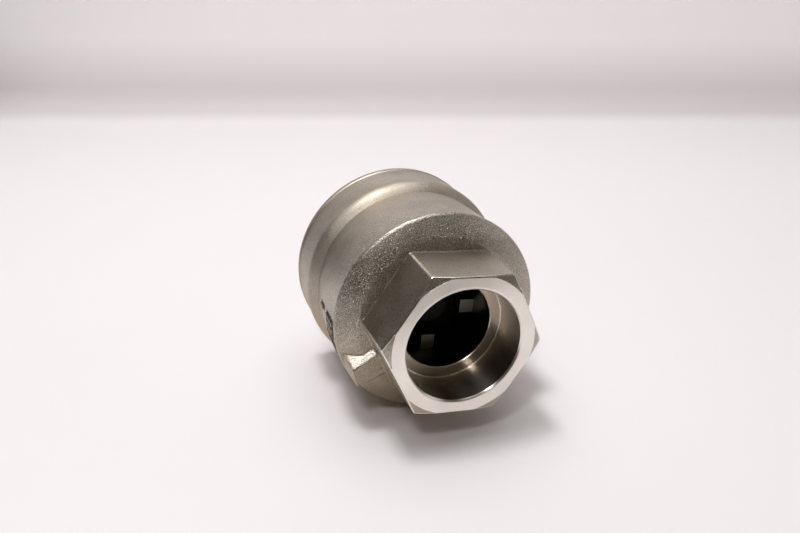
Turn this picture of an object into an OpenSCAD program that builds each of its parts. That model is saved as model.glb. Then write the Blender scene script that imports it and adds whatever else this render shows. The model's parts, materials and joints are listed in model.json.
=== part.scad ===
// Spring check valve with two socket-weld ends.
// The flow axis is +Y. The origin is the centre of the inlet face, and the inlet mouth looks along -Y.
// Angles around the axis are counted from +X towards +Z.

/* [Pipe ends] */
// Diameter of both pipe sockets
socket_d = 33.9; // [33.6:0.1:34.4]
// Depth of both pipe sockets
socket_depth = 13.1; // [12.7:0.1:13.6]
// Diameter of the flow port
port_d = 27.1; // [26.5:0.1:27.6]
// Hexagon width across flats
hex_af = 41.6; // [41:0.1:42.4]
// Diameter of the turned face, where the chamfer of the hexagon's corners starts
face_d = 42.4; // [40.6:0.1:43]
// How far the chamfer sets the hexagon's corners back
corner_setback = 1; // [0.4:0.1:1.5]
// Angle of one corner of the inlet hexagon
inlet_hex_angle = 53.5; // [0:0.5:60]
// Angle of one corner of the outlet hexagon
outlet_hex_angle = 35; // [0:0.5:60]

/* [Body casting] */
// Where the hexagon meets the flat of the shoulder
shoulder_y = 17.9; // [17:0.1:18.5]
// Radius where the shoulder starts to slope
shoulder_flat_r = 24.6; // [24.4:0.1:26]
// Largest radius at the front of the barrel
rim_r = 31; // [30.6:0.1:32]
// Radius at the waist of the barrel
waist_r = 29.6; // [29.3:0.1:30.5]
// Where the waist ends
waist_y = 44.7; // [44.4:0.1:45.6]
// Radius of the thick rear band at its front
band_r = 31.9; // [31.6:0.1:33]
// Where the rear band reaches its full radius
band_y = 48.8; // [48.2:0.1:49.6]
// Rear end of the casting
body_end_y = 63.9; // [63.6:0.1:65]
// Angle of the cast lug on the shoulder
lug_angle = 208; // [200:1:215]
// Width of the lug at its front face
lug_w = 6.2; // [5:0.1:8]
// Width of the lug at its foot
lug_foot_w = 13; // [11:0.2:14]
// Height of the raised marks
mark_h = 0.5; // [0.3:0.1:0.8]

/* [Poppet] */
// Travel from closed to fully open
lift = 6.5; // [4:0.5:6.5]
// Number of guide legs in the seat bore
leg_count = 4; // [3:1:6]
// Width of one guide leg
leg_w = 4.2; // [3:0.1:5]
// Angle of the first guide leg
leg_angle = -6.5; // [-45:0.5:45]
// Diameter of the sealing disc
disc_d = 33.2; // [32.8:0.1:33.4]
// Diameter of the stem
stem_d = 6; // [5:0.5:6]

/* [Spring and guide] */
// Mean diameter of the spring
spring_d = 16.8; // [16.4:0.1:17.2]
// Diameter of the spring wire
wire_d = 1.2; // [0.8:0.1:1.2]
// Turns of the spring
spring_turns = 5; // [4:0.5:5]
// Number of arms of the guide spider
arm_count = 3; // [3:1:4]
// Width of one spider arm
arm_w = 3.2; // [2.5:0.1:4]

/* [Hidden] */
$fn = 96;
over = 1;                 // how far a cutter runs past the face it opens
fit_gap = 0.05;           // radial clearance of running fits
face_gap = 0.02;          // gap between faces that rest on each other
socket_r = socket_d / 2;
port_r = port_d / 2;
hex_r = hex_af / sqrt(3);
stem_r = stem_d / 2;

// Casting, outside
rim_y = 22.2;             // where the rim rounding runs into the barrel
rim_round = 1.6;
band_end_r = 31.1;        // radius of the rear band just before its rounded rear edge
edge_round = 1.5;
lug_front_y = 16.1;
lug_r0 = 19;              // the lug starts inside the hexagon
lug_r1 = 30.8;            // and ends flush with the rim
lug_shift = 0.4;          // its front face sits a little below its centre line
lug_low_draft = 1.5;      // its lower side is steep, its upper side slopes away

// Casting, inside
pocket_y = 21;            // floor of the seat pocket
pocket_r = 18.95;
clip_w = 1.5;             // thickness of the two retaining rings
rim_slope = 62;           // the rim rounding starts at this angle
boss_r = 22.6;            // tube that carries the seat ring
boss_end_y = 34.6;
barrel_r = 26;
barrel_floor_y = 25.5;
thread_r = 28;
ledge_y = 46.5;           // gasket ledge in front of the thread
seat_clip_y = 31.6;
seat_groove_r = 20.2;

// Connector
end_y = 76;               // outlet face, which is also the overall length
nose_y = 48.05;
end_face_y = 63.2;        // the connector sits a little inside the body
spider_pocket_r = 22.5;
spider_floor_y = 55.05;
funnel_r = 19;
funnel_end_y = 61;
spider_clip_y = 50;
spider_groove_r = 23.9;

// Seat
seat_y = 31.5;            // plane on which the poppet closes
seat_lip_r = 15.2;
seat_lip_y = 29.9;
o_groove_y = 24.2;
o_groove_w = 2.2;
o_groove_r = 17;

// Poppet, closed
leg_front_y = 24.6;
leg_inner_r = 9;
plate_y = 29.8;
plate_t = 1.2;
spigot_r = 6;
seal_r = 16;
seal_front_y = seat_y + face_gap;
seal_back_y = 34;
disc_front_y = 32.2;
disc_back_y = 36.5;
nut_af = 10;
nut_t = 3.2;
washer_r = 5.5;
washer_t = 0.75;
stem_front_y = 25.2;
stem_end_y = 56.2;
collar_r = 5;
collar_y = disc_back_y + face_gap;
collar_t = 1.45;
stop_r = 4.6;
stop_y = collar_y + collar_t + face_gap;
stem_groove_r = 2.3;
stem_groove_y = 54.9;
stem_groove_w = 0.8;

// Guide and spring
bush_y = 46;
bush_flange_t = 1;
bush_flange_r = 6.2;
bush_r = 4.6;
bush_end_y = 54.2;
hub_r = 6.8;
hub_end_y = 54;
spider_y = 51.6;
spider_rim_end_y = 55;
spider_rim_in_r = 19.3;
cup_y = disc_back_y + fit_gap;
cup_r = 10.4;
cup_t = 1;
cup_collar_r = 6.9;
cup_collar_end_y = 39;
spring_y0 = cup_y + cup_t + face_gap;
spring_washer_t = 0.75;
spring_y1 = spider_y - spring_washer_t - 2 * face_gap;
stop_end_y = bush_y - lift - fit_gap;

// Points of an arc: centre, radius, first and last angle, number of steps
function arc(c, r, a0, a1, n) =
    [for (i = [0:n]) c + r * [cos(a0 + (a1 - a0) * i / n), sin(a0 + (a1 - a0) * i / n)]];

// Stands a shape that was drawn around Z on the flow axis
module on_axis() {
    rotate([-90, 0, 0]) children();
}

// Turns a shape around the flow axis, from +X towards +Z
module turned(a) {
    rotate([0, -a, 0]) children();
}

// Disc or rod between two stations on the flow axis
module rod(y0, y1, r) {
    translate([0, y0, 0]) on_axis() cylinder(h = y1 - y0, r = r);
}

// Cone between two stations on the flow axis
module taper(y0, y1, r0, r1) {
    translate([0, y0, 0]) on_axis() cylinder(h = y1 - y0, r1 = r0, r2 = r1);
}

// Ring between two stations on the flow axis
module ring(y0, y1, r_out, r_in) {
    difference() {
        rod(y0, y1, r_out);
        rod(y0 - over, y1 + over, r_in);
    }
}

// Hexagon bar between two stations, with one corner at the angle a
module hex_bar(y0, y1, r, a) {
    turned(a) translate([0, y0, 0]) on_axis() cylinder(h = y1 - y0, r = r, $fn = 6);
}

// Hexagon end whose corners are chamfered from a turned face at y = 0
module hex_end(len, a) {
    intersection() {
        hex_bar(0, len, hex_r, a);
        union() {
            taper(0, corner_setback, face_d / 2, hex_r + 0.1);
            rod(corner_setback, len, hex_r + 0.1);
        }
    }
}

// Retaining ring with a gap and two eyes for pliers, on the side at the angle a
module retaining_ring(y, r_out, r_in, gap, a) {
    eye_r = 1.6;
    hole_r = 0.8;
    eye_inset = 0.25;         // the eyes end inside the ring's edge, and the gap trims them
    eye_at = r_out - eye_r - eye_inset;
    eye_turn = asin((gap / 2 + eye_r - eye_inset) / eye_at);
    turned(a) difference() {
        union() {
            ring(y, y + clip_w, r_out, r_in);
            for (s = [-1, 1]) turned(s * eye_turn) translate([eye_at, 0, 0]) rod(y, y + clip_w, eye_r);
        }
        translate([r_in - 4, y - over, -gap / 2]) cube([r_out - r_in + 6, clip_w + 2 * over, gap]);
        for (s = [-1, 1]) turned(s * eye_turn) translate([eye_at, 0, 0]) rod(y - over, y + clip_w + over, hole_r);
    }
}

// Round outside of the casting, from the shoulder to the rear edge
module casting_outside() {
    rim_c = [rim_r - rim_round, rim_y];
    rear_c = [band_end_r - edge_round, body_end_y - edge_round];
    outline = concat(
        [[0, shoulder_y], [shoulder_flat_r, shoulder_y]],
        arc(rim_c, rim_round, -rim_slope, 0, 6),
        [[(rim_r + waist_r) / 2 - 0.15, (rim_y + waist_y) / 2], [waist_r, waist_y - 1.2]],
        [[waist_r + 0.25, waist_y], [band_r - 0.35, band_y - 0.5], [band_r, band_y + 0.6]],
        arc(rear_c, edge_round, 0, 90, 6),
        [[0, body_end_y]]
    );
    on_axis() rotate_extrude() polygon(outline);
}

// Cast lug on the shoulder: a bar that runs out from the hexagon to the rim
module lug() {
    low = lug_shift + lug_w / 2;
    foot = low + lug_low_draft;
    section = [
        [rim_y, foot], [lug_front_y, low],
        [lug_front_y, low - lug_w], [rim_y, foot - lug_foot_w]
    ];
    intersection() {
        turned(lug_angle) translate([lug_r0, 0, 0]) rotate([90, 0, 90]) linear_extrude(height = 14) polygon(section);
        rod(0, rim_y, lug_r1);
    }
}

// Flat bar that stands out of the barrel: station, length along the flow, width, angle
module mark_bar(y, len, w, a) {
    turned(a) translate([barrel_r, y, -w / 2]) cube([10, len, w]);
}

// Flow arrow and plain bars, cut to a skin just above the barrel
module marks() {
    intersection() {
        union() {
            mark_bar(25, 9, 1.6, 198);
            turned(198) translate([barrel_r, 0, 0]) rotate([90, 0, 90]) linear_extrude(height = 10)
                polygon([[33, -3], [39, 0], [33, 3]]);
            for (j = [0:2]) for (k = [0:3]) mark_bar(24 + 2.3 * k, 1.1, 1.4, 180.5 + 3.6 * j);
            mark_bar(36, 3, 1, 180.5);
        }
        taper(rim_y, waist_y, rim_r + mark_h - 0.05, waist_r + mark_h);
    }
}

module inlet_body() {
    color([0.62, 0.59, 0.55])
    difference() {
        union() {
            hex_end(shoulder_y + 1, inlet_hex_angle);
            casting_outside();
            lug();
            marks();
        }
        rod(-over, socket_depth, socket_r);
        rod(0, pocket_y + over, port_r);
        rod(pocket_y, boss_end_y + over, pocket_r);
        rod(seat_clip_y - fit_gap, seat_clip_y + clip_w + fit_gap, seat_groove_r);
        ring(barrel_floor_y, boss_end_y, barrel_r, boss_r);
        rod(boss_end_y, body_end_y, barrel_r);
        rod(ledge_y, body_end_y + over, thread_r);
    }
}

module outlet_end() {
    color([0.66, 0.64, 0.6])
    difference() {
        union() {
            rod(nose_y, end_face_y, thread_r - fit_gap);
            translate([0, end_y, 0]) mirror([0, 1, 0]) hex_end(end_y - end_face_y + over, outlet_hex_angle);
        }
        rod(nose_y - over, spider_floor_y, spider_pocket_r);
        rod(spider_clip_y - fit_gap, spider_clip_y + clip_w + fit_gap, spider_groove_r);
        taper(spider_floor_y - 0.01, funnel_end_y, funnel_r, port_r);
        rod(spider_floor_y, end_y, port_r);
        rod(end_y - socket_depth, end_y + over, socket_r);
    }
}

module body_gasket() {
    color([0.93, 0.93, 0.9]) ring(ledge_y + face_gap, nose_y - face_gap, thread_r - 2 * fit_gap, barrel_r + 0.1);
}

module seat_ring() {
    color([0.7, 0.69, 0.66])
    difference() {
        rod(pocket_y + face_gap, seat_y, pocket_r - fit_gap);
        rod(0, seat_y + over, port_r);
        taper(seat_lip_y, seat_y + 0.01, port_r, seat_lip_r);
        ring(o_groove_y, o_groove_y + o_groove_w, pocket_r + over, o_groove_r);
    }
}

module seat_o_ring() {
    section_r = (pocket_r - o_groove_r) / 2 - face_gap;
    color([0.08, 0.08, 0.08]) translate([0, o_groove_y + o_groove_w / 2, 0]) on_axis()
        rotate_extrude() translate([(pocket_r + o_groove_r) / 2, 0]) circle(r = section_r, $fn = 32);
}

module seat_clip() {
    color([0.55, 0.54, 0.52]) retaining_ring(seat_clip_y, seat_groove_r - 0.1, 17.7, 3, 60);
}

module leg_guide() {
    leg_r = port_r - fit_gap;
    color([0.66, 0.65, 0.62])
    difference() {
        union() {
            rod(plate_y, plate_y + plate_t, port_r - 3 * fit_gap);
            rod(plate_y, seal_back_y - face_gap, spigot_r);
            intersection() {
                rod(leg_front_y, plate_y + plate_t, leg_r);
                union() for (k = [0:leg_count - 1])
                    turned(leg_angle + k * 360 / leg_count)
                        translate([leg_inner_r, leg_front_y, -leg_w / 2]) cube([leg_r, 8, leg_w]);
            }
        }
        rod(leg_front_y - over, disc_back_y, stem_r + face_gap);
    }
}

module disc_seal() {
    color([0.05, 0.05, 0.05]) difference() {
        rod(seal_front_y, seal_back_y - face_gap, seal_r);
        rod(seal_front_y - over, seal_back_y + over, spigot_r + fit_gap);
    }
}

module poppet_disc() {
    color([0.5, 0.49, 0.47])
    difference() {
        rod(disc_front_y, disc_back_y, disc_d / 2);
        rod(disc_front_y - over, seal_back_y, seal_r + fit_gap);
        rod(disc_front_y, disc_back_y + over, stem_r + face_gap);
    }
}

module stem() {
    color([0.72, 0.71, 0.69])
    difference() {
        union() {
            rod(stem_front_y, stem_end_y, stem_r);
            rod(collar_y, collar_y + collar_t, collar_r);
        }
        ring(stem_groove_y, stem_groove_y + stem_groove_w, stem_r + over, stem_groove_r);
    }
}

module nose_nut() {
    y1 = plate_y - washer_t - 2 * face_gap;
    color([0.6, 0.59, 0.57])
    difference() {
        intersection() {
            hex_bar(y1 - nut_t, y1, nut_af / sqrt(3), 20);
            taper(y1 - nut_t, y1, nut_af / 2 - 0.1, nut_af / 2 + 4);
        }
        rod(y1 - nut_t - over, y1 + over, stem_r + face_gap);
    }
}

module nose_washer() {
    y1 = plate_y - face_gap;
    color([0.64, 0.63, 0.61]) ring(y1 - washer_t, y1, washer_r, stem_r + 2 * fit_gap);
}

module lift_stop() {
    color([0.68, 0.67, 0.64]) ring(stop_y, stop_end_y, stop_r, stem_r + fit_gap);
}

module stem_clip() {
    clip_r = 5;
    slot_w = 2 * stem_groove_r + 2 * face_gap;
    color([0.3, 0.3, 0.3])
    turned(100) difference() {
        rod(stem_groove_y + fit_gap, stem_groove_y + stem_groove_w - fit_gap, clip_r);
        rod(stem_groove_y - over, stem_end_y, stem_groove_r + face_gap);
        translate([0, stem_groove_y - over, -slot_w / 2]) cube([clip_r + over, 3, slot_w]);
    }
}

module spring_cup() {
    color([0.62, 0.61, 0.59])
    difference() {
        union() {
            rod(cup_y, cup_y + cup_t, cup_r);
            rod(cup_y, cup_collar_end_y, cup_collar_r);
        }
        rod(cup_y - over, cup_collar_end_y + over, collar_r + fit_gap);
    }
}

// Closing spring: a round wire along a helix, with its end turns laid flat
module spring() {
    per_turn = 24;
    sides = 8;
    steps = spring_turns * per_turn;
    wire_r = wire_d / 2;
    y_first = spring_y0 + wire_r;
    y_last = spring_y1 - wire_r;
    end_pitch = wire_d + 0.06;
    pitch = (y_last - y_first - 2 * end_pitch) / (spring_turns - 2);
    // Height along the spring for a number of turns: the first and last turn lie almost flat
    function rise(t) =
        t < 1 ? t * end_pitch
        : t > spring_turns - 1 ? y_last - y_first - (spring_turns - t) * end_pitch
        : end_pitch + (t - 1) * pitch;
    points = [for (i = [0:steps], j = [0:sides - 1])
        let (t = i / per_turn, a = 360 * t, b = 360 * j / sides, r = spring_d / 2 + wire_r * cos(b))
            [r * cos(a), y_first + rise(t) + wire_r * sin(b), r * sin(a)]];
    walls = [for (i = [0:steps - 1], j = [0:sides - 1])
        let (p = i * sides + j, q = i * sides + (j + 1) % sides) [p, q, q + sides, p + sides]];
    ends = [[for (j = [0:sides - 1]) sides - 1 - j], [for (j = [0:sides - 1]) steps * sides + j]];
    color([0.7, 0.69, 0.66]) polyhedron(points, concat(walls, ends), convexity = 6);
}

module spring_washer() {
    color([0.62, 0.61, 0.59])
        ring(spider_y - face_gap - spring_washer_t, spider_y - face_gap, cup_r, hub_r + fit_gap);
}

module guide_spider() {
    rim_r = spider_pocket_r - fit_gap;
    color([0.58, 0.56, 0.52])
    difference() {
        union() {
            ring(spider_y, spider_rim_end_y, rim_r, spider_rim_in_r);
            rod(bush_y + bush_flange_t + face_gap, hub_end_y, hub_r);
            for (k = [0:arm_count - 1]) turned(90 + k * 360 / arm_count)
                translate([hub_r - over, spider_y, -arm_w / 2]) cube([15, hub_end_y - spider_y, arm_w]);
        }
        rod(bush_y, hub_end_y + over, bush_r + face_gap);
    }
}

module guide_bush() {
    color([0.92, 0.92, 0.88])
    difference() {
        union() {
            rod(bush_y, bush_y + bush_flange_t, bush_flange_r);
            rod(bush_y, bush_end_y, bush_r);
        }
        rod(bush_y - over, bush_end_y + over, stem_r + fit_gap);
    }
}

module spider_clip() {
    color([0.55, 0.54, 0.52]) retaining_ring(spider_clip_y, spider_groove_r - 0.1, 20.9, 4, 210);
}

inlet_body();
outlet_end();
body_gasket();
seat_ring();
seat_o_ring();
seat_clip();
leg_guide();
disc_seal();
poppet_disc();
stem();
nose_nut();
nose_washer();
lift_stop();
stem_clip();
spring_cup();
spring();
spring_washer();
guide_spider();
guide_bush();
spider_clip();
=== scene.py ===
import json
import math

import bpy
import numpy as np
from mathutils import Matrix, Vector


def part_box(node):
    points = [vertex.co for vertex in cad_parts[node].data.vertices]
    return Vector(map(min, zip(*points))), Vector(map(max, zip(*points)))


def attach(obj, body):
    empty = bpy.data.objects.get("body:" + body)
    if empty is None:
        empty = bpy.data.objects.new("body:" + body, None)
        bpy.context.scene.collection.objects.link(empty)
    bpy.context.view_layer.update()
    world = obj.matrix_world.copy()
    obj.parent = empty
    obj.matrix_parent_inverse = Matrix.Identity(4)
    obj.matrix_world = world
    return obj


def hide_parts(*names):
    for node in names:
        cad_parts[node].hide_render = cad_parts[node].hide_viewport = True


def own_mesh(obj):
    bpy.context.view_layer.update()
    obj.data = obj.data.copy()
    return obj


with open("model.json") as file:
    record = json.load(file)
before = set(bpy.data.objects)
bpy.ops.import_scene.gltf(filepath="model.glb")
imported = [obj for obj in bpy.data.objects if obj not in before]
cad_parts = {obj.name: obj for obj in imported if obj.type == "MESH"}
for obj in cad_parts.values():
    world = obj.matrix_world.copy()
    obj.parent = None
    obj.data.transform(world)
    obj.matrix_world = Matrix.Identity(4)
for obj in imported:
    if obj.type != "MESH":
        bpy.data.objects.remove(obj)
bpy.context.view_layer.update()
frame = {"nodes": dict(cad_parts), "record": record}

# Lengths in this script are millimetres, turned into metres by MM where they reach Blender.
# The flow axis is +Y. Angles around it are in degrees, from +X towards +Z.
MM = 0.001


def node_box(node):
    """A CAD node's box as two arrays in millimetres."""
    lo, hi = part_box(node)
    return np.array(lo) / MM, np.array(hi) / MM


def mount(name):
    """A mount's entry in the record."""
    return next(m for m in frame["record"]["mounts"] if m["name"] == name)


# ---------------------------------------------------------------- sizes, from the frame

body_lo, body_hi = node_box("inlet_body")
outlet_lo, outlet_hi = node_box("outlet_end")

SOCKET_R = mount("inlet_socket")["dims"]["r_mm"]
SOCKET_DEPTH = mount("inlet_socket")["dims"]["length_mm"]
BODY_END = body_hi[1]             # rear end of the casting
OUTLET_END = outlet_hi[1]         # outlet face, and the overall length
BAND_R = (body_hi[0] - body_lo[0]) / 2      # the rear band, the widest part
LEG_FRONT = node_box("leg_guide")[0][1]     # station of the leg tips
FLOOR_Z = -BAND_R                 # the valve lies on its band

# ---------------------------------------------------------------- sizes of the visible shapes
# A name ending in _R is a radius and one ending in _Y a station along the flow axis.

PORT_R = 13.55                    # bore beyond each socket
THREAD_GAP = 0.05                 # the connector's thread is this much smaller than its bore
THREAD_R = (outlet_hi[0] - outlet_lo[0]) / 2 + THREAD_GAP
FLAT_R = 20.8                     # half the width across the hexagon's flats
CORNER_ROUND = 1.1                # rounding of the hexagon's long edges
INLET_HEX_ANGLE = 53.5            # angle of one hexagon corner
OUTLET_HEX_ANGLE = 35.0
FACE_R = 21.2                     # edge of the turned face, where the corner chamfer starts
FACE_STEP = 0.12                  # the turned face stands this much proud of the cast corners
CHAMFER_SLOPE = 0.36              # set-back of the corners per millimetre of radius
EDGE = 0.4                        # width of small broken edges
SHOULDER_Y = 17.9                 # the shoulder is flat at first, then curves back to its end
FOOT_ROUND = 0.45                 # fillet between the hexagon and the shoulder
SHOULDER_FLAT_R = 24.7
SHOULDER_END = (30.15, 20.79)     # radius and station where the shoulder meets the rim's rounding
SHOULDER_POWER = 1.3
RIM_C = (29.4, 22.2)              # centre of the rim's rounding: radius and station
RIM_ROUND = 1.6
RIM_R = RIM_C[0] + RIM_ROUND
WAIST_R = 29.6                    # the barrel narrows from the rim to the waist
WAIST_POWER = 0.85
STEP_Y = (44.7, 48.9)             # the step up to the rear band starts sharply and ends softly
LIP_Y, LIP_H, LIP_W = 60.9, 0.28, 0.5   # small lip ahead of the rear edge
BAND_END_R = 31.1                 # the band tapers to this before its rounded rear edge
REAR_ROUND = 1.5

LUG_ANGLE = 208.0
LUG_FRONT = 16.1                  # station of the lug's flat front
LUG_ROOT_R = 21.9                 # radius where the lug leaves the hexagon
LUG_UPPER = (2.7, 0.9)            # half width, and how far the side spreads per millimetre of depth
LUG_LOWER = (4.0, 2.7, 0.25)      # half width at the hexagon and at the rim, and spread
LUG_END = (30.1, 0.27, 5.0)       # the end's distance along the lug, its skew, and its draft
LUG_SOFT = (0.35, 0.12, 0.8, 0.15)      # softness of its upper, lower and end edges, and of its foot

# raised marks on the barrel, as (angle, first station, length, width)
MARK_H = 0.6
MARK_SHAFT = (198, 25, 9, 1.6)
MARK_HEAD = (33, 39, 0.894, 0.447)      # arrow head: base and tip stations, and its sides' direction
MARK_BLOCK = (180.5, 24, 1.1, 1.4)
MARK_PITCH, MARK_COUNT = (3.6, 2.3), (3, 4)   # of the block's bars, around and along
MARK_BAR = (180.5, 36, 3, 1)
MARK_SLOPE = 0.3                  # width of a mark's sloping sides
MARK_SHADE = (0.35, 1.3, 0.6)     # distance from a mark where the painted shade round it is darkest, its amount and spread

COLUMN_STEP = 1.25                # degrees between a lathe mesh's columns
FINE_ZONE = (163.0, 232.0, 0.4)   # start, end and spacing of closer columns over the marks and the lug
CORNER_ZONE = (2.4, 0.3)          # half width and spacing of those at a hexagon corner

# inside the casting
GASKET_Y = 46.5                   # ledge for the body gasket
CHAMBER_R, CHAMBER_Y = 26.0, 25.5       # the chamber and its bottom
BOSS_R, BOSS_Y = 22.6, 34.6       # the boss that stands in it round the seat, and its end
SEAT_R, SEAT_Y = 18.95, 21.0      # the seat's pocket and its bottom
SEAT_CLIP_R, SEAT_CLIP_Y = 20.2, (31.55, 33.15)     # groove of the seat's clip

# inside the connector
NOSE_Y, FACE_Y = 48.05, 63.2      # its nose, and its round face a little inside the casting's end
SPIDER_R, SPIDER_Y = 22.5, 55.05  # the spider's pocket and its bottom
SPIDER_CLIP_R, SPIDER_CLIP_Y = 23.9, (49.95, 51.55)
CONE_R, CONE_Y = 19.0, 61.0       # wide start and end station of the cone down to the port

# ---------------------------------------------------------------- camera, room and lamps, mostly in metres

CAMERA_POS = (-88.4, -195.2, 122.3)     # millimetres
CAMERA_FORWARD = (0.3052, 0.8557, -0.4179)
CAMERA_LENS, SENSOR_WIDTH = 40.5, 36.0  # the lens and its sensor, millimetres
FLOOR_NEAR, WALL_AT, WALL_TOP = -1.2, 0.565, 0.42   # from the camera's foot, along its view
FLOOR_HALF_WIDTH = 1.2
BEND = 0.02                       # radius of the sweep between floor and wall
FLOOR_PALE, FLOOR_DULL = (0.86, 0.845, 0.855), (0.85, 0.835, 0.845)
# painted light: the wall is painted darker near the floor and lighter higher up
WALL_SHADED, WALL_LIT = (0.70, 0.67, 0.675), (0.88, 0.85, 0.855)
# painted light: a faint glow on the upper wall that only the camera sees
WALL_PAINTED_GLOW = 0.12
PAINTED_GLOW_COLOR = (1.0, 0.965, 0.97)
PAPER_NEAR, PAPER_LEFT = 0.12, -0.25    # the paper's near and left edges
WALL_EXTRA = 0.15                 # it reaches this much further left up the wall
BEYOND_PAPER = (0.03, 0.025, 0.02)
ROOM, ROOM_COLOR = 0.07, (1.0, 0.82, 0.66)
SHOWN_COLOR = (0.76, 0.72, 0.73)  # the room as the camera sees it

# name, place, target, size, power, colour
COOL, WARM = (1.0, 0.965, 0.975), (1.0, 0.965, 0.95)
LIGHTS = [
    ("top_box", (0.03, 0.12, 0.8), (0, 0.05, 0), (0.8, 0.7), 2.9, (1.0, 0.97, 0.975)),
    ("key_box", (-0.15, 0.08, 0.75), (0, 0.02, 0), (0.14, 0.14), 2.4, COOL),
    ("front_box", (-0.27, -0.37, 0.64), (0, 0.02, 0), (0.12, 0.12), 1.1, COOL),
    ("left_box", (-0.3, 0.08, 0.75), (0, 0.02, 0), (0.5, 0.5), 0.85, COOL),
    ("side_box", (1.1, -0.35, 0.45), (0, 0.02, 0), (0.7, 0.5), 0.9, WARM),
]


# ---------------------------------------------------------------- mesh helpers

def smooth(t):
    """A soft step from 0 to 1 as t goes from 0 to 1."""
    t = np.clip(t, 0, 1)
    return t * t * (3 - 2 * t)


def soft_min(a, b, k):
    """The smaller of a and b, rounded where they cross."""
    h = np.clip(0.5 + 0.5 * (b - a) / k, 0, 1)
    return b * (1 - h) + a * h - k * h * (1 - h)


def soft_max(a, b, k):
    """The larger of a and b, rounded where they cross."""
    return -soft_min(-a, -b, k)


def signed_turn(angles, zero):
    """Angles counted from zero, between -180 and 180 degrees."""
    return (angles - zero + 180) % 360 - 180


class Meridian:
    """Rows of (radius, station) pairs, one value per column, that a lathe mesh is made of.
    Each row also has a finish and a painted_shading value: painted shade above 0, painted highlight below."""

    def __init__(self, angles):
        self.angles = angles
        self.r, self.y, self.finish, self.painted_shading = [], [], [], []

    def add(self, r, y, finish="cast", painted_shading=0.0):
        ones = np.ones_like(self.angles)
        self.r.append(r * ones)
        self.y.append(y * ones)
        self.finish.append(finish)
        self.painted_shading.append(painted_shading * ones)

    def line(self, r, y, steps, finish="cast"):
        """Rows from the last one to (r, y)."""
        r0, y0 = self.r[-1], self.y[-1]
        for k in range(1, steps + 1):
            self.add(r0 + (r - r0) * k / steps, y0 + (y - y0) * k / steps, finish)

    def arc(self, r, y, radius, start, end, steps, finish="cast"):
        """Rows along an arc around (r, y)."""
        for k in range(steps + 1):
            a = math.radians(start + (end - start) * k / steps)
            self.add(r + radius * math.cos(a), y + radius * math.sin(a), finish)


def columns(corner_angle, *zones):
    """Column angles in degrees: evenly spaced, and closer at the hexagon's corners and in other zones.
    A zone is its start, end and step."""
    half, step = CORNER_ZONE
    corners = [corner_angle + 60 * k for k in range(6)]
    fine = [(corner - half, corner + half, step) for corner in corners] + list(zones)
    base = np.arange(0, 360, COLUMN_STEP)
    keep = np.ones(len(base), bool)
    parts = []
    for start, end, step in fine:
        zone = np.arange(start, end + step / 2, step)
        parts.append(zone % 360)
        keep &= ~(((base - start) % 360) < (end - start))
    out = np.sort(np.concatenate([base[keep], *parts]))
    distinct = np.diff(out) > 0.06
    return out[np.concatenate([[True], distinct])]


def place(name, data):
    """A new object in the scene."""
    obj = bpy.data.objects.new(name, data)
    bpy.context.collection.objects.link(obj)
    return obj


def mesh_object(name, points, faces):
    """A new mesh object from points in metres."""
    mesh = bpy.data.meshes.new(name)
    mesh.from_pydata(points, [], faces)
    return place(name, mesh)


def stand_in(obj, node):
    """Let a piece that is fixed to the housing take a CAD node's place."""
    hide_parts(node)
    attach(obj, "housing")


def aim(obj, pos, direction):
    """Put a lamp or camera at a place in metres, facing a direction."""
    obj.location = pos
    obj.rotation_mode = "QUATERNION"
    obj.rotation_quaternion = Vector(direction).to_track_quat("-Z", "Y")


def finish_mesh(obj, materials, smooth_angle):
    """Give a mesh its materials, and smooth shading across edges flatter than the angle."""
    for m in materials:
        obj.data.materials.append(m)
    obj.data.shade_smooth()
    obj.data.set_sharp_from_angle(angle=math.radians(smooth_angle))


def lathe(name, m):
    """A closed ring-shaped object from a meridian's rows."""
    kinds = sorted(set(m.finish))
    a = np.radians(m.angles)
    r, y = np.array(m.r), np.array(m.y)
    rows, cols = r.shape
    points = np.stack([r * np.cos(a), y, r * np.sin(a)], -1).reshape(-1, 3) * MM
    i, j = np.meshgrid(np.arange(rows), np.arange(cols), indexing="ij")
    i2, j2 = (i + 1) % rows, (j + 1) % cols
    faces = np.stack([i * cols + j, i2 * cols + j, i2 * cols + j2, i * cols + j2], -1).reshape(-1, 4)
    obj = mesh_object(name, points.tolist(), faces.tolist())
    mesh = obj.data
    index = np.array([kinds.index(kind) for kind in m.finish])
    finishes = np.repeat(index[(np.arange(rows) + 1) % rows], cols)
    mesh.polygons.foreach_set("material_index", finishes.astype(np.int32))
    painted_shading = mesh.attributes.new("painted_shading", "FLOAT", "POINT")
    painted_shading.data.foreach_set("value", np.array(m.painted_shading, np.float32).ravel())
    mesh.update()
    finish_mesh(obj, [FINISHES[kind] for kind in kinds], 32)
    return obj


def hex_radius(angles, corner_angle):
    """Distance from the axis to a hexagon with rounded corners, for each angle."""
    half_side = math.radians(30)
    from_corner = np.abs(np.radians((angles - corner_angle + 30) % 60 - 30))
    from_flat = half_side - from_corner
    flat = FLAT_R / np.cos(from_flat)
    # the rounding's centre lies this far out on the corner's own ray
    c = (FLAT_R - CORNER_ROUND) / math.cos(half_side)
    tangent = math.atan((FLAT_R - CORNER_ROUND) * math.tan(half_side) / FLAT_R)
    under = np.maximum(CORNER_ROUND ** 2 - (c * np.sin(from_corner)) ** 2, 0)
    rounded = c * np.cos(from_corner) + np.sqrt(under)
    return np.where(from_flat > tangent, rounded, flat)


# ---------------------------------------------------------------- materials
# Noise scales are per metre, bump distances in metres. A colour pair is the light and the dark of a mottle.

SKIN = 0.00005                    # usual depth of a fine bump
GRAIN_Y = (0.0235, 0.036)         # the casting's grain fades between these stations, in metres
DULL_Y = (0.026, 0.040)           # and its surface grows duller between these
RING_PITCH = 0.00022              # of the tool's marks on turned metal


def times(color, factor):
    """A colour made darker or lighter, no channel above 1."""
    return tuple(min(factor * v, 1) for v in color)


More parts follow.
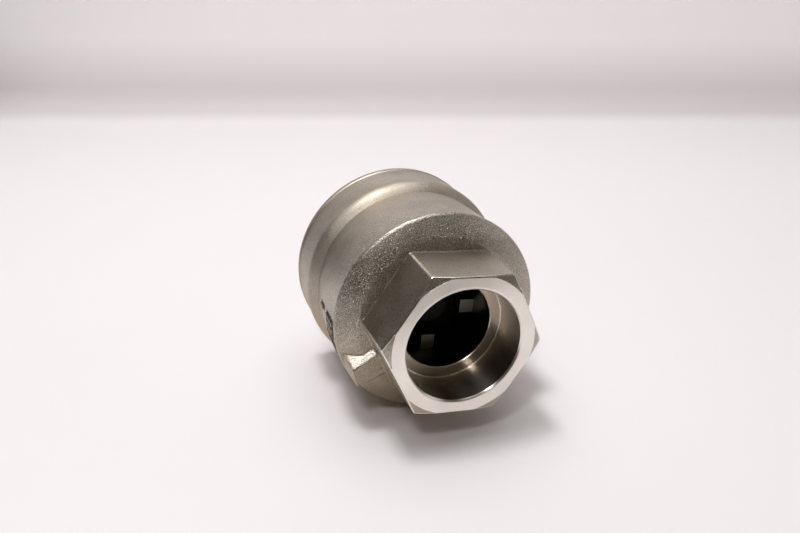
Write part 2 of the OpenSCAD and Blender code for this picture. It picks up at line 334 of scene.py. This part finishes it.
def material(name):
    """A new material and the Nodes that build it."""
    mat = bpy.data.materials.new(name)
    mat.use_nodes = True
    tree = mat.node_tree
    tree.nodes.clear()
    return mat, Nodes(tree)


class Nodes:
    """Short calls for building a node tree. A value may be a number, a colour or another node's socket."""

    def __init__(self, tree):
        self.tree = tree
        self.out = self.new("ShaderNodeOutputMaterial")
        self.bsdf = self.new("ShaderNodeBsdfPrincipled")
        self.link(self.bsdf.outputs[0], self.out.inputs["Surface"])
        self.coord = self.new("ShaderNodeTexCoord").outputs["Object"]

    def new(self, kind, **values):
        node = self.tree.nodes.new(kind)
        for key, value in values.items():
            if hasattr(node, key):
                setattr(node, key, value)
            else:
                node.inputs[key.replace("_", " ")].default_value = value
        return node

    def link(self, a, b):
        self.tree.links.new(a, b)

    def noise(self, scale, detail=2.0, rough=0.5, vector=None):
        n = self.new("ShaderNodeTexNoise", Scale=scale, Detail=detail, Roughness=rough)
        self.link(vector or self.coord, n.inputs["Vector"])
        return n.outputs["Fac"]

    def math(self, op, a, b=0.0, c=0.0):
        n = self.new("ShaderNodeMath", operation=op)
        for k, v in enumerate((a, b, c)):
            if isinstance(v, (int, float)):
                n.inputs[k].default_value = v
            else:
                self.link(v, n.inputs[k])
        return n.outputs[0]

    def remap(self, value, lo, hi, to_lo, to_hi):
        n = self.new("ShaderNodeMapRange", clamp=True)
        self.link(value, n.inputs["Value"])
        for key, v in (("From Min", lo), ("From Max", hi), ("To Min", to_lo), ("To Max", to_hi)):
            n.inputs[key].default_value = v
        return n.outputs["Result"]

    def mix(self, fac, a, b):
        n = self.new("ShaderNodeMix", data_type="RGBA")
        fac_in = next(s for s in n.inputs if s.name == "Factor" and s.type == "VALUE")
        a_in, b_in = (s for s in n.inputs if s.type == "RGBA")
        for socket, v in ((fac_in, fac), (a_in, a), (b_in, b)):
            if isinstance(v, (int, float)):
                socket.default_value = v
            elif isinstance(v, tuple):
                socket.default_value = (*v, 1.0)
            else:
                self.link(v, socket)
        return next(s for s in n.outputs if s.type == "RGBA")

    def bump(self, height, strength, distance, normal=None):
        n = self.new("ShaderNodeBump", Distance=distance)
        if isinstance(strength, (int, float)):
            n.inputs["Strength"].default_value = strength
        else:
            self.link(strength, n.inputs["Strength"])
        self.link(height, n.inputs["Height"])
        if normal is not None:
            self.link(normal, n.inputs["Normal"])
        return n.outputs["Normal"]

    def set(self, **values):
        for key, v in values.items():
            socket = self.bsdf.inputs[key.replace("_", " ")]
            if isinstance(v, tuple):
                socket.default_value = (*v, 1.0)
            elif isinstance(v, (int, float)):
                socket.default_value = v
            else:
                self.link(v, socket)

    def split(self):
        """The object coordinate's x, y and z."""
        n = self.new("ShaderNodeSeparateXYZ")
        self.link(self.coord, n.inputs[0])
        return n.outputs

    def polar(self):
        """Distance from the flow axis and station along it, in metres."""
        x, y, z = self.split()
        r = self.math("SQRT", self.math("ADD", self.math("MULTIPLY", x, x), self.math("MULTIPLY", z, z)))
        return r, y


def cast_material(name, light, dark, tan, grain=1.0):
    """Bead-blasted casting: sandy grain, strongest on the shoulder, soft stains, painted shade low on the
    left and in corners, and painted highlights.
    """
    mat, n = material(name)
    x, y, z = n.split()
    stain = n.remap(n.noise(70, 4, 0.6), 0.35, 0.65, 0, 1)
    sand = n.noise(2400, 2, 0.6)
    fine = n.noise(3700, 1, 0.6)
    facets = n.remap(n.noise(3300, 1, 0.5), 0.54, 0.67, 0, 1)
    zone = n.remap(y, *GRAIN_Y, grain, 0.4 * grain)
    color = n.mix(stain, light, dark)
    color = n.mix(n.remap(n.noise(38, 3, 0.5), 0.5, 0.75, 0, 0.55), color, tan)

    # dark pits and bright specks of the grain
    pits = n.math("MULTIPLY", n.remap(fine, 0.32, 0.5, 0.75, 0), zone)
    color = n.mix(pits, color, times(dark, 0.35))
    specks = n.math("MULTIPLY", n.remap(fine, 0.54, 0.68, 0, 0.8), zone)
    color = n.mix(specks, color, times(light, 1.6))
    color = n.mix(n.math("MULTIPLY", zone, 0.1), color, times(dark, 0.2))

    # painted shade: warmer and darker low on the left; then the painted shade and painted highlight that the
    # mesh carries
    side = n.math("SUBTRACT", n.math("MULTIPLY", x, -0.5), z)
    ragged = n.math("ADD", side, n.math("MULTIPLY", n.noise(60, 3, 0.6), 0.02))
    warm = n.remap(ragged, 0.022, 0.038, 0, 0.85)
    color = n.mix(warm, color, tuple(v * k for v, k in zip(dark, (0.95, 0.86, 0.72))))
    # painted shade where the mesh's painted_shading is above 0, painted highlight where it is below 0
    painted_shading = n.new("ShaderNodeAttribute", attribute_name="painted_shading").outputs["Fac"]
    color = n.mix(n.math("MAXIMUM", painted_shading, 0.0), color, times(dark, 0.12))
    painted_highlight = n.math("MAXIMUM", n.math("MULTIPLY", painted_shading, -1.0), 0.0)
    color = n.mix(painted_highlight, color, times(light, 1.6))
    n.set(Base_Color=color, Metallic=1.0)

    # the barrel is duller than the end
    roughness = n.remap(n.noise(1900, 2, 0.6), 0.3, 0.7, 0.26, 0.36)
    n.set(Roughness=n.math("ADD", roughness, n.remap(y, *DULL_Y, 0, 0.15)))
    normal = n.bump(sand, n.math("MULTIPLY", zone, 0.7), 0.00014)
    n.set(Normal=n.bump(facets, n.math("MULTIPLY", zone, 0.95), 0.00012, normal))
    return mat


def turned_material(name, light, dark, rough=(0.26, 0.36), ring_depth=0.35, aniso=0.8, haze_mix=0.35):
    """Metal turned on a lathe: fine rings around the flow axis, whose highlights fan out across them."""
    mat, n = material(name)
    r, y = n.polar()
    # one coordinate that changes both across a face and along a bore
    along = n.math("ADD", r, n.math("MULTIPLY", y, 1.37))
    combine = n.new("ShaderNodeCombineXYZ")
    n.link(along, combine.inputs[0])
    rings = n.noise(1.0 / RING_PITCH, 3, 0.7, combine.outputs[0])
    broad = n.noise(420, 2, 0.5, combine.outputs[0])
    haze = n.noise(120, 3, 0.6)
    color = n.mix(n.remap(rings, 0.3, 0.7, 0, 0.6), light, dark)
    color = n.mix(n.remap(haze, 0.45, 0.75, 0, haze_mix), color, dark)
    tangent = n.new("ShaderNodeTangent", direction_type="RADIAL", axis="Y").outputs[0]
    n.set(Base_Color=color, Metallic=1.0, Anisotropic=aniso, Anisotropic_Rotation=0.25, Tangent=tangent)
    n.set(Roughness=n.remap(haze, 0.3, 0.7, rough[0], rough[1]))
    normal = n.bump(rings, ring_depth, 0.00003)
    n.set(Normal=n.bump(broad, ring_depth * 0.6, SKIN, normal))
    return mat


def strip_material(name, light, dark, rough=(0.28, 0.42)):
    """Stamped strip or drawn wire: faint streaks and rub marks."""
    mat, n = material(name)
    stretch = n.new("ShaderNodeMapping")
    n.link(n.coord, stretch.inputs["Vector"])
    stretch.inputs["Scale"].default_value = (1.0, 6.0, 1.0)
    streak = n.noise(700, 4, 0.6, stretch.outputs[0])
    rub = n.noise(160, 3, 0.6)
    n.set(Base_Color=n.mix(n.remap(rub, 0.4, 0.65, 0, 1), light, dark), Metallic=1.0)
    n.set(Roughness=n.remap(streak, 0.3, 0.7, rough[0], rough[1]))
    n.set(Normal=n.bump(streak, 0.25, SKIN))
    return mat


def leg_material():
    """The poppet's guide: painted near-black all over as painted shade of the dark inside, with bare flat
    tips where it was ground to length.
    """
    mat, n = material("guide_steel")
    _, y = n.polar()
    mottle = n.noise(300, 3, 0.6)
    tip_depth = 0.12
    tip = n.math("LESS_THAN", y, (LEG_FRONT + tip_depth) * MM)
    bare = n.mix(mottle, (0.80, 0.78, 0.70), (0.62, 0.61, 0.53))
    # painted shade: all but the tips is near-black
    n.set(Base_Color=n.mix(tip, (0.035, 0.033, 0.03), bare), Metallic=1.0)
    n.set(Roughness=n.remap(mottle, 0.3, 0.7, 0.3, 0.45))
    n.set(Normal=n.bump(n.noise(2500, 2, 0.6), 0.2, SKIN))
    return mat


def polymer_material(name, light, dark, grain_scale, sheen=0.0):
    """Moulded or turned polymer: soft mottling and a faint orange-peel skin."""
    mat, n = material(name)
    mottle = n.noise(180, 4, 0.55)
    skin = n.noise(grain_scale, 3, 0.6)
    n.set(Base_Color=n.mix(n.remap(mottle, 0.35, 0.65, 0, 1), light, dark), Metallic=0.0)
    n.set(Roughness=n.remap(skin, 0.3, 0.7, 0.35, 0.5))
    n.set(Normal=n.bump(skin, 0.2, SKIN), Sheen_Weight=sheen)
    return mat


CAST = cast_material("cast_steel", (0.57, 0.53, 0.46), (0.43, 0.39, 0.33), (0.45, 0.39, 0.30))
HEXAGON = cast_material("hexagon_steel", (0.58, 0.54, 0.47), (0.47, 0.43, 0.365), (0.48, 0.42, 0.34), 0.45)
TURNED = turned_material("turned_steel", (0.93, 0.885, 0.815), (0.80, 0.755, 0.69))
WORN = turned_material("worn_edge_steel", (0.90, 0.86, 0.79), (0.80, 0.75, 0.68), (0.22, 0.3), aniso=0.2)
BORE = turned_material("bore_steel", (0.60, 0.54, 0.455), (0.47, 0.415, 0.34), (0.25, 0.27),
                       ring_depth=0.12, aniso=0.93, haze_mix=0.1)
# painted shade: bores and pockets deep inside are painted near-black, since little light reaches them
DEEP_SHADE_STEEL = turned_material("deep_bore_painted_shade", (0.05, 0.046, 0.043), (0.03, 0.028, 0.027), (0.3, 0.45), aniso=0.3)
LEG = turned_material("leg_steel", (0.62, 0.61, 0.55), (0.46, 0.45, 0.41))
GUIDE = leg_material()
# painted shade: the poppet's steel parts deep inside are painted near-black
DARK_SHADE_STEEL = strip_material("dark_parts_painted_shade", (0.04, 0.039, 0.038), (0.02, 0.0195, 0.019), (0.5, 0.62))
STRIP = strip_material("strip_steel", (0.50, 0.49, 0.47), (0.34, 0.33, 0.32))
PTFE = polymer_material("ptfe", (0.86, 0.86, 0.82), (0.78, 0.78, 0.73), 1500)
FKM = polymer_material("fkm", (0.022, 0.022, 0.022), (0.012, 0.012, 0.012), 2200, sheen=0.05)

# what the lathe meshes' finish names mean
FINISHES = {"cast": CAST, "hexagon": HEXAGON, "turned": TURNED, "edge": WORN, "bore": BORE, "deep": DEEP_SHADE_STEEL}


# ---------------------------------------------------------------- inlet body

def mark_gap(angles, y):
    """Distance from the nearest raised mark at one station, for each angle: an arrow and plain bars."""
    def around(angle):
        return np.radians(signed_turn(angles, angle)) * RIM_R

    def bar(angle, start, length, width):
        dx = np.abs(around(angle)) - width / 2
        dy = abs(y - start - length / 2) - length / 2
        return np.hypot(np.maximum(dx, 0), max(dy, 0)) + np.minimum(np.maximum(dx, dy), 0)

    base, tip, across, along = MARK_HEAD
    head = np.maximum(base - y, np.abs(around(MARK_SHAFT[0])) * across + (y - tip) * along)
    angle, start, length, width = MARK_BLOCK
    block = [bar(angle + MARK_PITCH[0] * j, start + MARK_PITCH[1] * k, length, width)
             for j in range(MARK_COUNT[0]) for k in range(MARK_COUNT[1])]
    return np.min([bar(*MARK_SHAFT), head, bar(*MARK_BAR), *block], axis=0)


def share(value, start, end):
    """How far value has gone from start to end, from 0 to 1."""
    return min(max((value - start) / (end - start), 0), 1)


def barrel_radius(y):
    """Radius of the barrel and the rear band at a station."""
    barrel = RIM_R + (WAIST_R - RIM_R) * share(y, RIM_C[1], STEP_Y[0]) ** WAIST_POWER
    step = (BAND_R - WAIST_R) * (1 - (1 - share(y, *STEP_Y)) ** 2)
    fall = (BAND_R - BAND_END_R) * max(0.0, (y - STEP_Y[1]) / (BODY_END - REAR_ROUND - STEP_Y[1]))
    return barrel + step - fall - LIP_H * (1 - float(smooth((y - LIP_Y) / LIP_W)))


def lug_frame(r, angles):
    """Where a point lies on the lug: along it, across it from its centre line, and its lower edge."""
    turn = np.radians(signed_turn(angles, LUG_ANGLE))
    far_away = 99.0
    side = np.where(np.abs(turn) > 1.0, far_away, r * np.sin(turn))
    out = np.clip((r - LUG_ROOT_R) / (LUG_END[0] - LUG_ROOT_R), 0, 1)
    return r * np.cos(turn), side, LUG_LOWER[0] + (LUG_LOWER[1] - LUG_LOWER[0]) * out


def lug_upper_depth(side):
    """Depth of the lug's sloping upper side behind its front."""
    return (-side - LUG_UPPER[0]) / LUG_UPPER[1]


def shoulder_station(r, angles):
    """Station of the shoulder and the rim at a radius, with the cast lug standing out of them."""
    t = np.maximum(r - SHOULDER_FLAT_R, 0) / (SHOULDER_END[0] - SHOULDER_FLAT_R)
    plain = SHOULDER_Y + (SHOULDER_END[1] - SHOULDER_Y) * t ** SHOULDER_POWER
    across = np.clip(r - RIM_C[0], 0, RIM_ROUND)
    rim = RIM_C[1] - np.sqrt(RIM_ROUND ** 2 - across ** 2)
    plain = np.where(r > SHOULDER_END[0], rim, plain)
    along, side, lower = lug_frame(r, angles)
    below = (side - lower) / LUG_LOWER[2]
    end = (along - LUG_END[0] - LUG_END[1] * side) * LUG_END[2]
    lug = soft_max(np.zeros_like(side), lug_upper_depth(side), LUG_SOFT[0])
    lug = soft_max(lug, below, LUG_SOFT[1])
    lug = LUG_FRONT + soft_max(lug, end, LUG_SOFT[2])
    return soft_min(plain, lug, LUG_SOFT[3])


def shoulder_painted_light(r, angles):
    """Painted light at the lug: painted shade in the corner along its lower side, and a painted highlight on
    its sloping upper side.
    """
    along, side, lower = lug_frame(r, angles)
    plain = shoulder_station(r, np.zeros_like(angles))
    height = plain - LUG_FRONT
    # the painted shade starts at the lower edge and reaches further out where the lug stands higher
    past = side - lower
    reach = 0.66 * height + 0.3
    painted_shade = smooth(past / 0.2) * smooth((reach - past) / 0.3 + 0.5) * smooth(LUG_END[0] - along)
    # the painted highlight on the upper side ends at its edge with the front, and at the shoulder
    depth = lug_upper_depth(side)
    painted_highlight = smooth(depth * 2 + 0.5) * smooth((height - depth) * 4)
    return 0.85 * painted_shade - 0.9 * painted_highlight


def add_hex_end(m, corner_angle, foot_station):
    """Rows of a socket and a hexagon end, from the bottom of the socket to the hexagon's foot, whose
    radius is returned. The end's face is at station 0. foot_station gives the surface behind it."""
    h = hex_radius(m.angles, corner_angle)
    broken, corner, lead = 0.2, 0.25, 0.5   # the port's edge, the socket's inner corner, and its mouth
    m.add(PORT_R, SOCKET_DEPTH + broken, "bore")
    m.line(PORT_R + broken, SOCKET_DEPTH, 2, "edge")
    m.line(SOCKET_R - 0.3, SOCKET_DEPTH, 5, "bore")
    m.arc(SOCKET_R - corner, SOCKET_DEPTH - corner, corner, 90, 0, 4, "edge")
    m.line(SOCKET_R, lead, 12, "bore")
    m.line(SOCKET_R + 0.7 * lead, 0.08, 2, "turned")
    m.line(SOCKET_R + lead, 0, 2, "turned")
    face = np.minimum(FACE_R, h - EDGE)
    m.line(face, 0, 6, "turned")
    beyond = np.maximum(h - EDGE - FACE_R, 0)
    step = FACE_STEP * smooth(beyond / 0.25)
    m.add(face + 0.02, step, "hexagon")
    chamfer = step + beyond * CHAMFER_SLOPE
    m.line(h - EDGE, chamfer, 5, "hexagon")
    for a in (72, 54, 36, 18, 0):
        k = math.radians(a)
        m.add(h - EDGE + EDGE * math.cos(k), chamfer + EDGE - EDGE * math.sin(k), "edge")
    foot = foot_station(h, m.angles) - FOOT_ROUND
    m.line(h, foot, 14, "hexagon")
    for a in (22, 45, 68, 90):
        k = math.radians(a)
        r = h + FOOT_ROUND * (1 - math.cos(k))
        m.add(r, foot_station(r, m.angles) - FOOT_ROUND * (1 - math.sin(k)))
    return h + FOOT_ROUND


def clip_groove(bore_r, groove_r, stations):
    """Corners of a retaining ring's groove, as (radius, station, steps), in the order of its two stations."""
    start, end = stations
    return [(bore_r, start, 1), (groove_r, start, 1), (groove_r, end, 1), (bore_r, end, 1)]


def build_inlet_body():
    """The casting: hexagon end, shoulder with its lug, barrel, band and the hollow inside."""
    m = Meridian(columns(INLET_HEX_ANGLE, FINE_ZONE))
    foot_r = add_hex_end(m, INLET_HEX_ANGLE, shoulder_station)

    # shoulder and rim, with close rows where the lug ends
    close_r = 28.9
    for s in np.linspace(0, 1, 24)[1:]:
        r = foot_r + (close_r - foot_r) * s
        m.add(r, shoulder_station(r, m.angles), painted_shading=shoulder_painted_light(r, m.angles))
    closer = [RIM_R - gap for gap in (0.07, 0.03, 0.008)]
    for r in [*np.arange(close_r + 0.08, RIM_R - 0.12, 0.08), *closer]:
        m.add(r, shoulder_station(np.full_like(m.angles, r), m.angles))
    m.add(RIM_R, RIM_C[1])

    # the outside from the rim back, with close rows over the marks, the step and the lip
    marks = np.arange(22.8, 40.4, 0.2)
    waist = np.arange(41, 44, 1.0)
    step = np.arange(44.3, 49.1, 0.2)
    band = np.linspace(49.4, LIP_Y - 0.2, 10)
    lip = np.arange(LIP_Y, LIP_Y + 0.6, 0.1)
    darkest_gap, amount, spread = MARK_SHADE
    for y in [*marks, *waist, *step, *band, *lip, BODY_END - REAR_ROUND - 0.3]:
        gap = mark_gap(m.angles, y)
        raised = MARK_H * smooth(0.5 - gap / MARK_SLOPE)
        # painted shade darkens the barrel round each raised mark
        m.add(barrel_radius(y) + raised, y, painted_shading=smooth(amount - np.abs(gap - darkest_gap) / spread))
    m.arc(BAND_END_R - REAR_ROUND, BODY_END - REAR_ROUND, REAR_ROUND, 0, 90, 8)
    m.line(THREAD_R + 0.7, BODY_END, 3, "turned")
    m.line(THREAD_R, BODY_END - 0.7, 2, "turned")

    # inside, from the rear: thread bore, gasket ledge, chamber round the seat's boss, seat pocket, port
    thread = [(THREAD_R, GASKET_Y, 8), (CHAMBER_R + 0.1, GASKET_Y, 2), (CHAMBER_R, GASKET_Y + 0.1, 1)]
    chamber = [(CHAMBER_R, CHAMBER_Y + 1, 6), (CHAMBER_R - 1, CHAMBER_Y, 2), (BOSS_R + 1, CHAMBER_Y, 1),
               (BOSS_R, CHAMBER_Y + 1, 2)]
    boss = [(BOSS_R, BOSS_Y - 0.3, 4), (BOSS_R - 0.3, BOSS_Y, 1), (SEAT_R + 0.3, BOSS_Y, 2),
            (SEAT_R, BOSS_Y - 0.3, 1)]
    seat = [(SEAT_R, SEAT_Y, 5), (PORT_R, SEAT_Y, 3), (PORT_R, SOCKET_DEPTH + 0.6, 6)]
    groove = clip_groove(SEAT_R, SEAT_CLIP_R, SEAT_CLIP_Y[::-1])
    # painted shade: the inside rows take the near-black deep finish
    for r, y, steps in thread + chamber + boss + groove + seat:
        m.line(r, y, steps, "deep")
    stand_in(lathe("casting", m), "inlet_body")


# ---------------------------------------------------------------- outlet connector

def build_outlet_end():
    """The screwed-in connector. Its rows are made in stations from the outlet face, then turned round."""
    m = Meridian(columns(OUTLET_HEX_ANGLE))
    face, nose = OUTLET_END - FACE_Y, OUTLET_END - NOSE_Y
    thread_r = THREAD_R - THREAD_GAP

    add_hex_end(m, OUTLET_HEX_ANGLE, lambda r, angles: np.full_like(angles, face))
    m.line(thread_r - 0.5, face, 4, "turned")
    m.line(thread_r, face + 0.5, 2, "turned")
    m.line(thread_r, nose - 0.8, 12, "turned")
    m.line(thread_r - 0.8, nose, 2, "turned")

    # inside: the spider's pocket with its clip groove, then a cone down to the port
    mouth = [(SPIDER_R + 0.4, NOSE_Y, 3), (SPIDER_R, NOSE_Y + 0.4, 1)]
    groove = clip_groove(SPIDER_R, SPIDER_CLIP_R, SPIDER_CLIP_Y)
    cone = [(SPIDER_R, SPIDER_Y, 2), (CONE_R, SPIDER_Y, 2), (PORT_R, CONE_Y, 6), (PORT_R, CONE_Y + 1.3, 2)]
    # painted shade: the inside rows take the near-black deep finish
    for r, y, steps in mouth + groove + cone:
        m.line(r, OUTLET_END - y, steps, "deep")
    m.y = [OUTLET_END - y for y in m.y]
    for rows in (m.r, m.y, m.finish, m.painted_shading):
        rows.reverse()
    # a finish belongs to the strip behind its row, so it moves along by one
    m.finish = m.finish[-1:] + m.finish[:-1]
    stand_in(lathe("connector", m), "outlet_end")


# ---------------------------------------------------------------- spring

def build_spring():
    """Round wire in a coil with a closed turn at each end, and less wire at the cut ends."""
    lo, hi = node_box("spring")
    wire = 0.6                    # the wire's radius
    coil_r = (hi[0] - lo[0]) / 2 - wire
    y0, y1 = lo[1] + wire, hi[1] - wire
    turns, per_turn, sides = 5.0, 56, 14
    end_pitch = 2 * wire + 0.06
    pitch = (y1 - y0 - 2 * end_pitch) / (turns - 2)
    t = np.linspace(0, turns, int(turns * per_turn) + 1)
    rise = np.where(t < 1, t * end_pitch, end_pitch + (t - 1) * pitch)
    rise = np.where(t > turns - 1, (y1 - y0) - (turns - t) * end_pitch, rise)
    a = 2 * np.pi * t
    b = 2 * np.pi * np.arange(sides) / sides
    taper = np.ones_like(t)
    taper[[0, -1]] = 0.8
    r = coil_r + wire * taper[:, None] * np.cos(b)
    y = y0 + rise[:, None] + wire * taper[:, None] * np.sin(b)
    points = np.stack([r * np.cos(a)[:, None], y, r * np.sin(a)[:, None]], -1).reshape(-1, 3) * MM
    faces = []
    for i in range(len(t) - 1):
        for j in range(sides):
            k = (j + 1) % sides
            faces.append((i * sides + j, i * sides + k, (i + 1) * sides + k, (i + 1) * sides + j))
    last = (len(t) - 1) * sides
    faces += [tuple(range(sides - 1, -1, -1)), tuple(range(last, last + sides))]
    obj = mesh_object("closing_spring", points.tolist(), faces)
    finish_mesh(obj, [STRIP], 50)
    stand_in(obj, "spring")
    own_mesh(obj)


# ---------------------------------------------------------------- CAD nodes that keep their shape

NODE_MATERIALS = {
    "body_gasket": PTFE, "guide_bush": PTFE,
    "seat_ring": DEEP_SHADE_STEEL, "seat_o_ring": FKM, "disc_seal": FKM,
    "seat_clip": STRIP, "spider_clip": STRIP, "stem_clip": STRIP,
    # painted shade on the poppet's steel parts inside
    "leg_guide": GUIDE, "poppet_disc": DARK_SHADE_STEEL, "stem": DARK_SHADE_STEEL, "nose_nut": DARK_SHADE_STEEL, "nose_washer": DARK_SHADE_STEEL,
    "lift_stop": LEG, "spring_cup": STRIP, "spring_washer": STRIP, "guide_spider": CAST,
}


def finish_cad_nodes():
    """Give each CAD node that stays its material."""
    for node, mat in NODE_MATERIALS.items():
        obj = frame["nodes"][node]
        for slot in obj.material_slots:
            slot.material = mat
        if not obj.material_slots:
            obj.data.materials.append(mat)


# ---------------------------------------------------------------- floor, light, camera

def build_stage():
    """A pale floor and wall. Only the sheet of paper round the object lights it; beyond the sheet's
    edges the surroundings are dark, though the camera sees the same pale floor carry on. The wall's
    back is clear to the camera."""
    mat, n = material("paper")
    direction = Vector((CAMERA_FORWARD[0], CAMERA_FORWARD[1], 0)).normalized()
    side = Vector((direction.y, -direction.x, 0))
    start = Vector((CAMERA_POS[0], CAMERA_POS[1], 0)) * MM

    def distance(axis):
        dot = n.new("ShaderNodeVectorMath", operation="DOT_PRODUCT")
        n.link(n.coord, dot.inputs[0])
        dot.inputs[1].default_value = axis
        return n.math("SUBTRACT", dot.outputs["Value"], start.dot(axis))

    _, _, height = n.split()
    wall = n.remap(height, (FLOOR_Z + 0.5) * MM, (FLOOR_Z + 5) * MM, 0, 1)
    upper = n.remap(height, (FLOOR_Z + 3) * MM, (FLOOR_Z + 50) * MM, 0, 1)
    floor = n.mix(n.noise(6, 2, 0.5), FLOOR_PALE, FLOOR_DULL)
    # painted light: the wall is darker than the floor near its foot and lighter higher up
    color = n.mix(wall, floor, n.mix(upper, WALL_SHADED, WALL_LIT))
    seen = n.new("ShaderNodeLightPath").outputs["Is Camera Ray"]
    left_edge = n.math("SUBTRACT", PAPER_LEFT, n.math("MULTIPLY", wall, WALL_EXTRA))
    on_paper = n.math("MULTIPLY", n.math("GREATER_THAN", distance(direction), PAPER_NEAR),
                      n.math("GREATER_THAN", distance(side), left_edge))
    shown = n.math("MAXIMUM", seen, on_paper)
    # painted light: the upper wall glows for the camera
    painted_glow = n.math("MULTIPLY", n.math("MULTIPLY", seen, upper), WALL_PAINTED_GLOW)
    n.set(Base_Color=n.mix(shown, BEYOND_PAPER, color), Roughness=0.6)
    n.set(Emission_Color=PAINTED_GLOW_COLOR, Emission_Strength=painted_glow)
    behind = n.new("ShaderNodeNewGeometry").outputs["Backfacing"]
    clear = n.new("ShaderNodeBsdfTransparent")
    blend = n.new("ShaderNodeMixShader")
    n.link(n.math("MULTIPLY", seen, behind), blend.inputs[0])
    n.link(n.bsdf.outputs[0], blend.inputs[1])
    n.link(clear.outputs[0], blend.inputs[2])
    n.link(blend.outputs[0], n.out.inputs["Surface"])

    outline = [(FLOOR_NEAR, 0.0), (WALL_AT - BEND, 0.0)]
    for a in range(10, 91, 10):
        k = math.radians(a)
        outline.append((WALL_AT - BEND + BEND * math.sin(k), BEND - BEND * math.cos(k)))
    outline.append((WALL_AT, WALL_TOP))
    points = []
    for d, z in outline:
        for s in (-FLOOR_HALF_WIDTH, FLOOR_HALF_WIDTH):
            p = start + direction * d + side * s
            points.append((p.x, p.y, z + FLOOR_Z * MM))
    faces = [(2 * k, 2 * k + 1, 2 * k + 3, 2 * k + 2) for k in range(len(outline) - 1)]
    backdrop = mesh_object("backdrop", points, faces)
    backdrop.data.materials.append(mat)
    backdrop.data.shade_smooth()


def area_light(name, pos, target, size, power, color):
    """A rectangular soft box that faces a target."""
    data = bpy.data.lights.new(name, "AREA")
    data.shape = "RECTANGLE"
    data.size, data.size_y = size
    data.energy = power
    data.color = color
    aim(place(name, data), pos, Vector(target) - Vector(pos))


def build_lights():
    """The soft boxes, and a dim warm room that the camera sees as pale."""
    world = bpy.data.worlds.new("room")
    bpy.context.scene.world = world
    world.use_nodes = True
    tree = world.node_tree
    path = tree.nodes.new("ShaderNodeLightPath")
    mix = tree.nodes.new("ShaderNodeMixShader")
    shown = tree.nodes.new("ShaderNodeBackground")
    shown.inputs["Color"].default_value = (*SHOWN_COLOR, 1)
    room = tree.nodes["Background"]
    room.inputs["Color"].default_value = (*ROOM_COLOR, 1)
    room.inputs["Strength"].default_value = ROOM
    tree.links.new(path.outputs["Is Camera Ray"], mix.inputs[0])
    tree.links.new(room.outputs[0], mix.inputs[1])
    tree.links.new(shown.outputs[0], mix.inputs[2])
    tree.links.new(mix.outputs[0], tree.nodes["World Output"].inputs["Surface"])
    for light in LIGHTS:
        area_light(*light)


def build_camera():
    """The camera, above the inlet end and to its left."""
    data = bpy.data.cameras.new("camera")
    data.lens = CAMERA_LENS
    data.sensor_width = SENSOR_WIDTH
    data.clip_start, data.clip_end = 0.01, 20
    camera = place("camera", data)
    aim(camera, Vector(CAMERA_POS) * MM, CAMERA_FORWARD)
    bpy.context.scene.camera = camera


build_inlet_body()
build_outlet_end()
build_spring()
finish_cad_nodes()
build_stage()
build_lights()
build_camera()
bpy.context.scene.view_settings.view_transform = "Standard"
